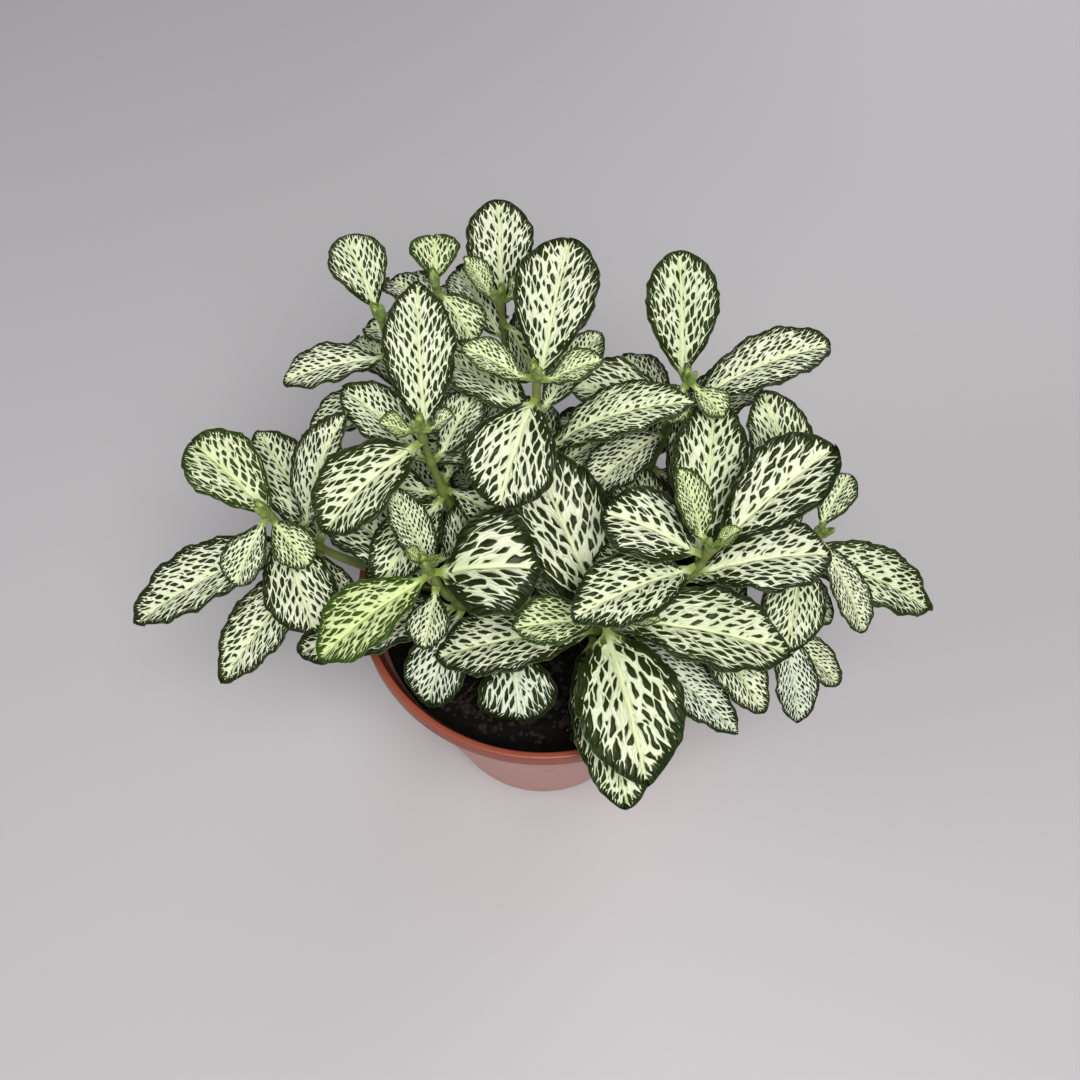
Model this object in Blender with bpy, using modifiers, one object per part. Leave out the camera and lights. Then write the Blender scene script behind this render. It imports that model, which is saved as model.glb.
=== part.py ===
"""A nerve plant (Fittonia) in a round plastic nursery pot.

Metres, +Z up. The origin is the centre of the pot's flat underside and -Y is the front.
Every stem leaves the soil at a foot, leans outwards and turns up to its end. Leaves grow
in opposite pairs: a whorl is the collar round the stem with one or two pairs of blades.
Whorls are laid from the top of the plant down, and each leaf gives way to what is there.
"""
import math
from collections import namedtuple

import bmesh
import bpy
from mathutils import Matrix, Vector
from mathutils.bvhtree import BVHTree

MM = 0.001
TURN = math.tau

# Pot
POT_HEIGHT = 105 * MM
POT_RIM_RADIUS = 60 * MM
POT_BASE_RADIUS = 39 * MM
POT_WALL = 1.2 * MM
POT_FLOOR = 1.6 * MM
LIP_HEIGHT = 6 * MM
LIP_PROUD = 2 * MM
LIP_ROUNDING = 0.8 * MM
BASE_ROUNDING = 3 * MM
DRAIN_COUNT = 6
DRAIN_RADIUS = 4 * MM
DRAIN_RING_SHARE = 0.62
TURNED_STEPS = 40

# Soil
SOIL_BELOW_RIM = 11 * MM
SOIL_CROWN = 3 * MM
ROOT_DEPTH = 8 * MM

# Stems and collars
STEM_RADIUS = 1.7 * MM
STEM_END_SHARE = 0.75
STEM_POINTS = 8
STEM_PAST_COLLAR = 1.6 * MM
COLLAR_WALL = 0.8 * MM
COLLAR_HEIGHT = 2.6 * MM
UPPER_PAIR_ABOVE = 4 * MM
COLLAR_STEPS = 6

# Leaves
LEAF_THICKNESS = 0.6 * MM
PETIOLE_LENGTH = 3.5 * MM
PETIOLE_SHARE_MAX = 0.18
PETIOLE_WIDTH = 2.2 * MM
TIP_WIDTH = 1.6 * MM
BLADE_STATIONS = (0.0, 0.18, 0.42, 0.68, 0.89, 1.0)
FOLD = 13

# Clearances
GAP = 0.3 * MM
LEAF_GAP = 0.9 * MM
PETIOLE_CLEAR = 1 * MM
SIBLING_CLEAR = 4 * MM

Leaf = namedtuple("Leaf", "turn rise length width curl bias roll", defaults=(34, 0.9, 0))
Shoot = namedtuple("Shoot", "foot end whorls")

# Millimetres from the pot's axis, with heights above the soil's crown, and degrees.
# A whorl: its distance below the stem's end, and its opposite leaves. A whorl of four, such
# as a growing tip, is two pairs close together, with the upper pair first. A leaf: direction
# seen from above, slope of the line from node to tip, length, width, bend along the midrib,
# where it is widest (above 1 is nearer the tip), and roll.
SHOOTS = {
    "middle": Shoot((0, 12), (-2, 20, 91), (
        (6, Leaf(165, 24, 23, 12), Leaf(5, 26, 20, 11),
         Leaf(75, 36, 43, 24, 30, 1.3), Leaf(-110, -26, 34, 27, 50)),
        (17, Leaf(144, 4, 38, 17), Leaf(56, 8, 34, 14)),
        (32, Leaf(2, 14, 50, 19, 60), Leaf(-172, -9, 40, 18)),
        (47, Leaf(94, -6, 30, 16), Leaf(-84, -8, 32, 17),
         Leaf(36, 4, 30, 15), Leaf(-118, -30, 24, 17)),
        (62, Leaf(60, -4, 36, 18), Leaf(-120, -6, 34, 17),
         Leaf(-24, -8, 34, 17), Leaf(150, -6, 34, 17)),
    )),
    "tall_left": Shoot((-15, 9), (-34, 10, 81), (
        (5, Leaf(-170, 34, 13, 9), Leaf(5, 38, 12, 8),
         Leaf(93, 30, 45, 21, 26), Leaf(-142, -20, 38, 24, 46)),
        (18, Leaf(140, 12, 36, 17), Leaf(55, 26, 26, 15)),
        (33, Leaf(-30, -6, 32, 17), Leaf(70, -4, 32, 16),
         Leaf(-95, -4, 36, 19), Leaf(172, -4, 36, 18)),
        (50, Leaf(-140, -10, 36, 18), Leaf(48, -6, 34, 17),
         Leaf(-42, -6, 32, 17), Leaf(130, -8, 36, 18)),
    )),
    "tall_right": Shoot((20, 24), (42, 32, 76), (
        (5, Leaf(-108, -8, 15, 10), Leaf(-52, -2, 16, 11),
         Leaf(94, 38, 40, 22, 26, 1.1), Leaf(-84, -40, 26, 16)),
        (14, Leaf(14, 20, 48, 19, 50, 1.15), Leaf(172, 8, 34, 22)),
        (28, Leaf(-142, -8, 32, 17), Leaf(112, -4, 34, 17),
         Leaf(-60, -20, 26, 16), Leaf(38, -2, 42, 18)),
        (44, Leaf(-116, -6, 34, 17), Leaf(64, -6, 36, 18),
         Leaf(-20, -4, 36, 17), Leaf(140, -4, 36, 17)),
    )),
    "back_tall": Shoot((4, 32), (-13, 57, 81), (
        (6, Leaf(140, 40, 18, 9), Leaf(28, 40, 13, 8),
         Leaf(92, 40, 34, 21, 24, 1.1), Leaf(-50, -50, 22, 16)),
        (17, Leaf(146, 4, 33, 17), Leaf(48, 0, 28, 16)),
        (32, Leaf(-8, -6, 34, 17), Leaf(172, -6, 32, 17),
         Leaf(84, -4, 36, 18), Leaf(-96, 0, 32, 17)),
    )),
    "front": Shoot((10, -12), (19, -30, 48), (
        (5, Leaf(-16, 18, 15, 7), Leaf(150, 18, 10, 6),
         Leaf(-172, 4, 28, 16, 24), Leaf(-9, -2, 54, 28, 40)),
        (12, Leaf(-76, -13, 48, 32, 50, 0.75), Leaf(117, 32, 56, 30, 30)),
        (22, Leaf(-172, -6, 50, 23, 40), Leaf(-35, -12, 52, 16, 60)),
        (32, Leaf(136, 6, 34, 17), Leaf(10, 0, 34, 17),
         Leaf(-80, -4, 56, 25, 50), Leaf(62, 10, 34, 16)),
    )),
    "right": Shoot((24, -2), (45, -22, 71), (
        (6, Leaf(122, 48, 26, 11), Leaf(15, 50, 12, 6),
         Leaf(34, 26, 46, 25, 30, 1.2), Leaf(158, 10, 31, 23, 44)),
        (13, Leaf(82, 8, 50, 23, 24), Leaf(-152, 8, 41, 22, 40)),
        (20, Leaf(7, 4, 41, 25, 40), Leaf(170, -12, 28, 18)),
        (34, Leaf(24, -6, 36, 18), Leaf(-150, -8, 32, 17),
         Leaf(112, 14, 42, 18), Leaf(-52, -22, 46, 17, 40)),
    )),
    "front_left": Shoot((-13, -9), (-32, -22, 61), (
        (5, Leaf(165, 60, 10, 6), Leaf(-15, 60, 10, 6),
         Leaf(0, 6, 31, 36, 40, 0.8), Leaf(-146, -16, 40, 22, 40)),
        (12, Leaf(125, 56, 32, 12, 20), Leaf(-100, -10, 20, 13)),
        (22, Leaf(160, 6, 52, 23, 40), Leaf(0, -34, 26, 12)),
        (36, Leaf(92, 4, 34, 17), Leaf(20, -10, 28, 15),
         Leaf(-168, -8, 54, 20, 36), Leaf(-116, -28, 33, 20, 50)),
    )),
    "far_left": Shoot((-28, 0), (-81, 1, 51), (
        (0, Leaf(-50, -14, 20, 13), Leaf(-115, -20, 23, 14)),
        (6, Leaf(140, 16, 37, 23, 28, 1.2), Leaf(-70, -30, 34, 22)),
        (14, Leaf(46, 28, 46, 19, 34), Leaf(-156, -15, 57, 22, 36)),
        (25, Leaf(52, 2, 34, 17), Leaf(-60, -16, 34, 17),
         Leaf(122, 14, 46, 21), Leaf(-128, -16, 51, 20)),
    )),
    "far_right": Shoot((34, 8), (81, -3, 46), (
        (0, Leaf(58, 16, 22, 11), Leaf(-55, -36, 34, 12)),
        (7, Leaf(104, 36, 48, 22, 26, 1.1), Leaf(-96, -24, 34, 19)),
        (16, Leaf(-20, -18, 52, 21, 60), Leaf(150, -10, 24, 16)),
        (29, Leaf(152, -4, 32, 16), Leaf(-40, -14, 30, 15),
         Leaf(62, -4, 40, 18), Leaf(-120, -12, 24, 15)),
    )),
    "back_left": Shoot((-20, 26), (-48, 52, 78), (
        (0, Leaf(118, 32, 27, 18, 30, 1.2), Leaf(-50, -40, 20, 15)),
        (14, Leaf(-168, -6, 35, 17), Leaf(60, -6, 28, 16)),
        (30, Leaf(30, -8, 32, 16), Leaf(-150, -8, 34, 17),
         Leaf(124, -8, 34, 17), Leaf(-62, -4, 30, 15)),
    )),
    "back": Shoot((-6, 38), (-32, 63, 80), (
        (0, Leaf(94, 14, 18, 16, 24, 1.1), Leaf(-52, -24, 20, 15)),
        (12, Leaf(134, -8, 27, 16), Leaf(46, -6, 30, 16)),
        (27, Leaf(160, -8, 32, 16), Leaf(-22, -6, 34, 17),
         Leaf(80, -10, 36, 17), Leaf(-112, 0, 28, 15)),
    )),
    "low_right": Shoot((33, -16), (70, -22, 32), (
        (0, Leaf(-72, -42, 36, 14), Leaf(100, 6, 24, 13)),
        (8, Leaf(-26, -32, 35, 13), Leaf(160, -12, 20, 13)),
    )),
    "low_front": Shoot((-6, -20), (-10, -23, 22), (
        (4, Leaf(-88, 0, 10, 6), Leaf(60, 44, 10, 6),
         Leaf(-84, -20, 26, 25, 40, 1.3), Leaf(50, 12, 26, 15)),
    )),
}

# How far a leaf may give way, in the order of least change: slope, direction, length.
SLOPE_STEPS = (0, 4, 8, 12, 16, 21, 27, 34, 44)
TURN_STEPS = (0, 6, 12, 18, 26, 35, 46, 60)
SHRINK_STEPS = (1.0, 0.9, 0.8, 0.7, 0.6, 0.5)


def linear(colour):
    """Turn a display colour into the linear one that shaders use."""
    return tuple(((c + 0.055) / 1.055) ** 2.4 for c in colour) + (1.0,)


def material(name, colour, roughness):
    made = bpy.data.materials.new(name)
    made.use_nodes = True
    shader = made.node_tree.nodes["Principled BSDF"]
    shader.inputs["Base Color"].default_value = linear(colour)
    shader.inputs["Roughness"].default_value = roughness
    shader.inputs["Metallic"].default_value = 0.0
    return made


def collection(name):
    made = bpy.data.collections.new(name)
    bpy.context.scene.collection.children.link(made)
    return made


def add_object(name, mesh, group, surface=None):
    made = bpy.data.objects.new(name, mesh)
    group.objects.link(made)
    if surface:
        made.data.materials.append(surface)
    return made


def add_cutter(name, mesh, group):
    cutter = add_object(name, mesh, group)
    cutter.display_type = "WIRE"
    cutter.hide_render = True
    return cutter


def combine(target, cutter, operation):
    modifier = target.modifiers.new(f"{operation.lower()}_{cutter.name}", "BOOLEAN")
    modifier.operation = operation
    modifier.solver = "EXACT"
    modifier.object = cutter


def mesh_of(name, build):
    """Make a mesh from what `build` does to an empty bmesh."""
    work = bmesh.new()
    build(work)
    made = bpy.data.meshes.new(name)
    work.to_mesh(made)
    work.free()
    return made


def turned(name, profile, steps, group, surface, closed=False):
    """Turn (radius, height) points, which run down the outer side, round Z."""
    def build(work):
        verts = [work.verts.new((radius, 0, height)) for radius, height in profile]
        for first, second in zip(verts, verts[1:]):
            work.edges.new((first, second))
        if closed:
            work.edges.new((verts[-1], verts[0]))

    made = add_object(name, mesh_of(name, build), group, surface)
    screw = made.modifiers.new("turn", "SCREW")
    screw.steps = screw.render_steps = steps
    screw.use_merge_vertices = True
    screw.merge_threshold = 0.00001
    return made


def rounding(centre, radius, start, end, steps=3):
    """Points of an arc, with its angles in degrees."""
    angles = [math.radians(start + (end - start) * i / steps) for i in range(steps + 1)]
    return [(centre[0] + radius * math.cos(a), centre[1] + radius * math.sin(a)) for a in angles]


def cylinders(name, centres, radius, bottom, top, group):
    def build(work):
        for x, y in centres:
            place = Matrix.Translation((x, y, (bottom + top) / 2))
            bmesh.ops.create_cone(work, cap_ends=True, segments=12, radius1=radius,
                                  radius2=radius, depth=top - bottom, matrix=place)

    return add_cutter(name, mesh_of(name, build), group)


# Pot and soil

def wall_radius(height):
    """The outer radius of the tapered wall at a height."""
    top = POT_RIM_RADIUS - LIP_PROUD
    return POT_BASE_RADIUS + (top - POT_BASE_RADIUS) * height / POT_HEIGHT


def soil_crown():
    return POT_HEIGHT - SOIL_BELOW_RIM


def make_pot(group, cutters, surface):
    inner_top = wall_radius(POT_HEIGHT) - POT_WALL
    lip_middle = POT_HEIGHT - LIP_ROUNDING
    profile = [(0, POT_FLOOR), (wall_radius(POT_FLOOR) - POT_WALL, POT_FLOOR)]
    profile += rounding((inner_top + LIP_ROUNDING, lip_middle), LIP_ROUNDING, 180, 90)
    profile += rounding((POT_RIM_RADIUS - LIP_ROUNDING, lip_middle), LIP_ROUNDING, 90, 0)
    profile.append((POT_RIM_RADIUS, POT_HEIGHT - LIP_HEIGHT))
    profile.append((wall_radius(POT_HEIGHT - LIP_HEIGHT), POT_HEIGHT - LIP_HEIGHT))
    corner = wall_radius(BASE_ROUNDING) - BASE_ROUNDING
    profile += rounding((corner, BASE_ROUNDING), BASE_ROUNDING, 0, -90)
    profile.append((0, 0))
    pot = turned("pot", profile, TURNED_STEPS, group, surface)
    ring = DRAIN_RING_SHARE * POT_BASE_RADIUS
    angles = [TURN * i / DRAIN_COUNT for i in range(DRAIN_COUNT)]
    centres = [(ring * math.cos(a), ring * math.sin(a)) for a in angles]
    drains = cylinders("drain_cutter", centres, DRAIN_RADIUS, -POT_FLOOR, 2 * POT_FLOOR, cutters)
    combine(pot, drains, "DIFFERENCE")
    return pot


def make_soil(group, cutters, surface):
    floor = POT_FLOOR + GAP
    edge = soil_crown() - SOIL_CROWN

    def reach(height):
        return wall_radius(height) - POT_WALL - GAP

    profile = [(reach(edge) * share, edge + SOIL_CROWN * (1 - share ** 2))
               for share in (0, 0.25, 0.5, 0.75, 1)]
    profile += [(reach(floor), floor), (0, floor)]
    soil = turned("soil", profile, TURNED_STEPS, group, surface)
    feet = [(shoot.foot[0] * MM, shoot.foot[1] * MM) for shoot in SHOOTS.values()]
    holes = cylinders("root_cutter", feet, STEM_RADIUS + GAP, edge - ROOT_DEPTH,
                      soil_crown() + ROOT_DEPTH, cutters)
    combine(soil, holes, "DIFFERENCE")
    return soil


# Stems

class StemLine:
    """The middle line of a stem, from its foot in the soil to its end."""

    def __init__(self, shoot):
        crown = soil_crown()
        foot = Vector((shoot.foot[0], shoot.foot[1], 0)) * MM
        end = Vector(shoot.end) * MM
        lean = Vector((end.x - foot.x, end.y - foot.y, 0))
        climb = Vector((0, 0, end.z))
        surface = Vector((0, 0, crown))
        root = Vector((0, 0, crown - SOIL_CROWN - ROOT_DEPTH + GAP))
        self.controls = [surface + foot, surface + foot + 0.4 * lean + 0.3 * climb,
                         surface + end - 0.15 * lean - 0.45 * climb, surface + end]
        self.points = [foot + root] + [self.curve(i / STEM_POINTS) for i in range(STEM_POINTS + 1)]

    def curve(self, t):
        a, b, c, d = self.controls
        return (1 - t) ** 3 * a + 3 * t * (1 - t) ** 2 * b + 3 * t * t * (1 - t) * c + t ** 3 * d

    def node(self, below):
        """The point a distance below the end, and the direction the stem grows there."""
        left = below
        for upper, lower in zip(self.points[::-1], self.points[-2::-1]):
            step = (upper - lower).length
            if left <= step:
                return upper.lerp(lower, left / step), (upper - lower).normalized()
            left -= step
        raise ValueError("a pair of leaves lies below its stem")


def make_stem(name, line, group, surface):
    """A bevelled curve that goes on a little past its end."""
    end, along = line.node(0)
    points = line.points + [end + along * (COLLAR_HEIGHT / 2 + STEM_PAST_COLLAR)]
    curve = bpy.data.curves.new(name, "CURVE")
    curve.dimensions = "3D"
    curve.bevel_depth = STEM_RADIUS
    curve.bevel_resolution = 2
    curve.use_fill_caps = True
    spline = curve.splines.new("POLY")
    spline.points.add(len(points) - 1)
    for i, (target, point) in enumerate(zip(spline.points, points)):
        target.co = (*point, 1)
        target.radius = 1 - (1 - STEM_END_SHARE) * i / (len(points) - 1)
    return add_object(name, curve, group, surface)


# Leaves

class Blade:
    """One leaf's surface: its midrib is an arc from the collar to the tip."""

    def __init__(self, leaf, node, along):
        turn, rise = math.radians(leaf.turn), math.radians(leaf.rise)
        way = Vector((math.cos(turn) * math.cos(rise), math.sin(turn) * math.cos(rise),
                      math.sin(rise)))
        outwards = (way - along * way.dot(along)).normalized()
        self.base = node + outwards * (STEM_RADIUS + GAP + COLLAR_WALL * 0.6)
        chord = node + way * leaf.length * MM - self.base
        self.length = chord.length
        self.chord = chord.normalized()
        self.side = Vector((0, 0, 1)).cross(self.chord).normalized()
        self.side = Matrix.Rotation(math.radians(leaf.roll), 3, self.chord) @ self.side
        self.up = self.chord.cross(self.side)
        self.curl = math.radians(max(leaf.curl, 1))
        self.width = leaf.width * MM
        self.bias = leaf.bias
        petiole = min(PETIOLE_LENGTH / self.length, PETIOLE_SHARE_MAX)
        self.stations = [0.0] + [petiole + (1 - petiole) * t for t in BLADE_STATIONS]
        self.petiole = petiole

    def half_width(self, u):
        t = (u - self.petiole) / (1 - self.petiole)
        if t <= 0:
            return PETIOLE_WIDTH / 2
        narrow = PETIOLE_WIDTH + (TIP_WIDTH - PETIOLE_WIDTH) * t
        full = self.width * math.sin(math.pi * min(t, 1) ** self.bias) ** 0.75
        return max(narrow, full) / 2

    def point(self, u, across, lift=0.0, spread=0.0):
        """A point at u along the midrib and `across` from edge to edge, -1 to 1."""
        radius = self.length / (2 * math.sin(self.curl / 2))
        angle = self.curl * (u - 0.5)
        forward = radius * (math.sin(self.curl / 2) + math.sin(angle))
        high = radius * (math.cos(angle) - math.cos(self.curl / 2))
        normal = self.up * math.cos(angle) + self.chord * math.sin(angle)
        reach = (self.half_width(u) + spread) * across
        fold = math.radians(FOLD) * min(1, max(0, (u - self.petiole) / 0.2))
        middle = self.base + self.chord * forward + self.up * high
        return (middle + self.side * reach * math.cos(fold)
                + normal * (abs(reach) * math.sin(fold) + lift))

    def mesh(self, name):
        """The bare surface, bent from a flat grid."""
        def build(work):
            rows = len(self.stations) - 1
            bmesh.ops.create_grid(work, x_segments=rows, y_segments=2, size=1)
            for vert in work.verts:
                row = round((vert.co.x + 1) / 2 * rows)
                vert.co = self.point(self.stations[row], vert.co.y)

        return mesh_of(name, build)

    def shell(self, clear):
        """A closed skin half of LEAF_GAP round the leaf, from a distance `clear` off its collar."""
        lift = (LEAF_THICKNESS + LEAF_GAP) / 2
        start = min(clear / self.length, 0.4)
        rows = [start] + [u for u in self.stations if u > start + 0.02]
        spread = LEAF_GAP / 2
        verts = [self.point(u, across, side * lift, spread)
                 for side in (1, -1) for u in rows for across in (-1, 0, 1)]
        size = 3 * len(rows)
        faces = []
        for i in range(len(rows) - 1):
            for j in range(2):
                top = [3 * i + j, 3 * i + j + 1, 3 * i + j + 4, 3 * i + j + 3]
                faces += [top, [size + k for k in top]]
            for edge in (0, 2):
                a, b = 3 * i + edge, 3 * i + edge + 3
                faces.append([a, b, size + b, size + a])
        for a, b in ((0, 1), (1, 2), (size - 3, size - 2), (size - 2, size - 1)):
            faces.append([a, b, size + b, size + a])
        return Obstacle(verts, faces)


class Obstacle:
    """Something that a leaf must clear, with its box for a quick first test."""

    def __init__(self, verts, faces):
        self.tree = BVHTree.FromPolygons(verts, faces)
        self.low = [min(v[i] for v in verts) for i in range(3)]
        self.high = [max(v[i] for v in verts) for i in range(3)]

    def hits(self, other):
        if any(self.low[i] > other.high[i] or other.low[i] > self.high[i] for i in range(3)):
            return False
        return bool(self.tree.overlap(other.tree))


def obstacle_of(made):
    evaluated = made.evaluated_get(bpy.context.evaluated_depsgraph_get())
    mesh = evaluated.to_mesh()
    verts = [v.co.copy() for v in mesh.vertices]
    faces = [list(p.vertices) for p in mesh.polygons]
    evaluated.to_mesh_clear()
    return Obstacle(verts, faces)


def changes():
    """Every way for a leaf to give way, the smallest first."""
    ways = []
    for slope in SLOPE_STEPS:
        for turn in TURN_STEPS:
            for shrink in SHRINK_STEPS:
                cost = slope / 4 + turn / 4 + (1 - shrink) * 30
                ways += [(cost, s * slope, t * turn, shrink) for s in (1, -1) for t in (1, -1)]
    return sorted(set(ways), key=lambda way: (way[0], abs(way[1]), way[1], way[2]))


def settle(leaf, node, along, others, siblings, ways):
    """Lay a leaf, giving way as little as it can to what is already there."""
    for _, slope, turn, shrink in ways:
        tried = leaf._replace(turn=leaf.turn + turn, rise=leaf.rise + slope,
                              length=leaf.length * shrink, width=leaf.width * shrink)
        blade = Blade(tried, node, along)
        whole = blade.shell(PETIOLE_CLEAR)
        if any(whole.hits(other) for other in others):
            continue
        outer = blade.shell(SIBLING_CLEAR)
        if not any(outer.hits(sibling) for sibling in siblings):
            return blade
    raise ValueError("a leaf finds no room")


def collar_frame(node, along):
    return Matrix.Translation(node) @ along.to_track_quat("Z", "Y").to_matrix().to_4x4()


def collar_profile(count, outwards=0.0):
    """Half of the collar's section, which is taller where it holds two pairs."""
    inner = (STEM_RADIUS + GAP) / math.cos(math.pi / COLLAR_STEPS)
    outer = inner + COLLAR_WALL + outwards
    low = -COLLAR_HEIGHT / 2 - outwards
    high = COLLAR_HEIGHT / 2 + outwards + (UPPER_PAIR_ABOVE if count > 2 else 0)
    return [(inner, high), (outer, high), (outer, low), (inner, low)]


def collar_skin(frame, count):
    """What leaves of other whorls keep clear of."""
    _, (radius, high), (_, low), _ = collar_profile(count, LEAF_GAP / 2)
    angles = [TURN * i / COLLAR_STEPS for i in range(COLLAR_STEPS)]
    verts = [frame @ Vector((radius * math.cos(a), radius * math.sin(a), height))
             for height in (low, high) for a in angles]
    faces = [[i, (i + 1) % COLLAR_STEPS, COLLAR_STEPS + (i + 1) % COLLAR_STEPS, COLLAR_STEPS + i]
             for i in range(COLLAR_STEPS)]
    return Obstacle(verts, faces)


def make_whorl(name, blades, frame, groups, surface):
    """A collar round the stem, joined with its blades."""
    parts, cutters = groups
    profile = collar_profile(len(blades))
    collar = turned(name, profile, COLLAR_STEPS, parts, surface, closed=True)
    collar.matrix_world = frame
    for i, blade in enumerate(blades):
        cutter = add_cutter(f"{name}_blade_{i + 1}", blade.mesh(f"{name}_blade_{i + 1}"), cutters)
        thicken = cutter.modifiers.new("thickness", "SOLIDIFY")
        thicken.thickness = LEAF_THICKNESS
        thicken.offset = 0
        combine(collar, cutter, "UNION")
    return collar


def main():
    for old in list(bpy.data.objects):
        bpy.data.objects.remove(old)
    plant = collection("potted_nerve_plant")
    cutters = collection("cutters")
    plastic = material("terracotta_plastic", (0.66, 0.40, 0.33), 0.45)
    peat = material("peat", (0.09, 0.075, 0.06), 0.95)
    stalk = material("stem_green", (0.42, 0.47, 0.27), 0.6)
    blade_green = material("leaf_cream_green", (0.66, 0.72, 0.52), 0.5)

    fixed = [obstacle_of(make_pot(plant, cutters, plastic)),
             obstacle_of(make_soil(plant, cutters, peat))]
    lines = {name: StemLine(shoot) for name, shoot in SHOOTS.items()}
    fixed += [obstacle_of(make_stem(f"stem_{name}", line, plant, stalk))
              for name, line in lines.items()]

    whorls = []
    for name, shoot in SHOOTS.items():
        for level, (below, *leaves) in enumerate(shoot.whorls):
            node, along = lines[name].node(below * MM)
            whorls.append((level, name, node, along, leaves))
    whorls.sort(key=lambda whorl: whorl[0])
    skins = [collar_skin(collar_frame(node, along), len(leaves))
             for _, _, node, along, leaves in whorls]

    ways = changes()
    laid = []
    for i, (level, name, node, along, leaves) in enumerate(whorls):
        others = fixed + laid + skins[:i] + skins[i + 1:]
        blades = []
        for j, leaf in reversed(list(enumerate(leaves))):
            upper = len(leaves) > 2 and j < 2
            start = node + along * (UPPER_PAIR_ABOVE if upper else 0)
            siblings = [blade.shell(SIBLING_CLEAR) for blade in blades]
            blades.append(settle(leaf, start, along, others, siblings, ways))
        laid += [blade.shell(PETIOLE_CLEAR) for blade in blades]
        make_whorl(f"leaves_{name}_{level + 1}", blades, collar_frame(node, along),
                   (plant, cutters), blade_green)


main()
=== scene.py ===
# %% [markdown]
# # A potted nerve plant
#
# A nerve plant (Fittonia) grows in a thin terracotta-coloured nursery pot. Its leaves are dark
# green with a wide net of cream veins. Each leaf is a thin, quilted, slightly folded blade on
# a short stalk, and leaves grow opposite each other from swollen nodes on upright stems.
#
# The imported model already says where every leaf, stem and pot wall is, so this script reads
# its places from that frame and makes the fine surfaces and finishes round it.

# %% Load the frame
import math

import bmesh
import bpy
import numpy as np
from mathutils import Matrix, Vector, noise


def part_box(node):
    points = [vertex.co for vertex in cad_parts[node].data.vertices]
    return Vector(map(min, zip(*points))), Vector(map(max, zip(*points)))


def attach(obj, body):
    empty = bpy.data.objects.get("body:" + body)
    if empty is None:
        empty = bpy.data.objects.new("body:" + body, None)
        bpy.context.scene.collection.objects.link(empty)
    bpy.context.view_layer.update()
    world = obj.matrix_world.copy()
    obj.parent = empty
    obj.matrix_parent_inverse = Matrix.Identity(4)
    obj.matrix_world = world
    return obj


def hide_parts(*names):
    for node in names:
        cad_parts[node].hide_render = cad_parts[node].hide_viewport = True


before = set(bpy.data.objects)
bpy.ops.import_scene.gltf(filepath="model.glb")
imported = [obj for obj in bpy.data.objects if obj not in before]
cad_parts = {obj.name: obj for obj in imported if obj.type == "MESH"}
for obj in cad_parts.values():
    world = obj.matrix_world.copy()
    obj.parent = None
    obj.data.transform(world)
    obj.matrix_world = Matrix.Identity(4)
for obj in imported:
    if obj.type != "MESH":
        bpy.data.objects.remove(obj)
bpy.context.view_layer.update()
MM = 0.001
TURN = math.tau
print("nodes in the frame:", len(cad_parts))


def placed(name, data):
    """A new object in the scene."""
    made = bpy.data.objects.new(name, data)
    bpy.context.scene.collection.objects.link(made)
    return made


def distances_along(points):
    """How far each point of a line lies from its start."""
    steps = np.linalg.norm(np.diff(points, axis=0), axis=1)
    return np.concatenate([[0], np.cumsum(steps)])


def mesh_of(name, work):
    """The mesh of a finished bmesh."""
    mesh = bpy.data.meshes.new(name)
    work.to_mesh(mesh)
    work.free()
    return mesh


# %% [markdown]
# ## Camera and light
#
# The plant is seen from in front and above, from arm's length. A soft light in front and
# above does most of the work, a window on the left gives the leaves their gentle sheen, and
# a weak light comes off the far wall. The dim room fills the shadows.

# %% Camera
CAMERA_PLACE = (-0.001, -0.175, 0.435)
CAMERA_DOWN = 60
SENSOR = 36
FOCAL_SHARE = 115 / 108

camera_data = bpy.data.cameras.new("camera")
camera_data.sensor_width = SENSOR
camera_data.lens = SENSOR * FOCAL_SHARE
camera_data.clip_start = 0.01
camera = placed("camera", camera_data)
camera.location = CAMERA_PLACE
camera.rotation_euler = (math.radians(90 - CAMERA_DOWN), 0, 0)
bpy.context.scene.camera = camera

# %% Light and view
def soft_light(name, place, aim, side, power, colour):
    """A square lamp that faces a point."""
    data = bpy.data.lights.new(name, "AREA")
    data.size = side
    data.energy = power
    data.color = colour
    lamp = placed(name, data)
    lamp.location = place
    lamp.rotation_euler = (Vector(aim) - Vector(place)).to_track_quat("-Z", "Y").to_euler()


PLANT_HEART = (0, 0, 0.13)
soft_light("overhead", (0.14, -0.55, 1.12), PLANT_HEART, 0.6, 12.4, (1, 0.99, 0.97))
soft_light("far wall", (0.6, 1.1, 0.55), PLANT_HEART, 0.8, 4, (0.97, 0.98, 1))
soft_light("window", (-1.0, -0.3, 0.9), PLANT_HEART, 0.6, 2.6, (0.96, 0.98, 1))

room = bpy.data.worlds.new("room")
room.use_nodes = True
sky = room.node_tree.nodes["Background"].inputs
sky["Color"].default_value = (0.93, 0.95, 1, 1)
sky["Strength"].default_value = 0.2
bpy.context.scene.world = room
bpy.context.scene.view_settings.view_transform = "Standard"
bpy.context.scene.view_settings.look = "Medium High Contrast"

# %% [markdown]
# ## Shader maths
#
# Writing out each node of a finish is long and hides the idea, so a small class wraps a
# socket and lets Python's own operators add the Math nodes. `Tree` adds any other node.

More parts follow.
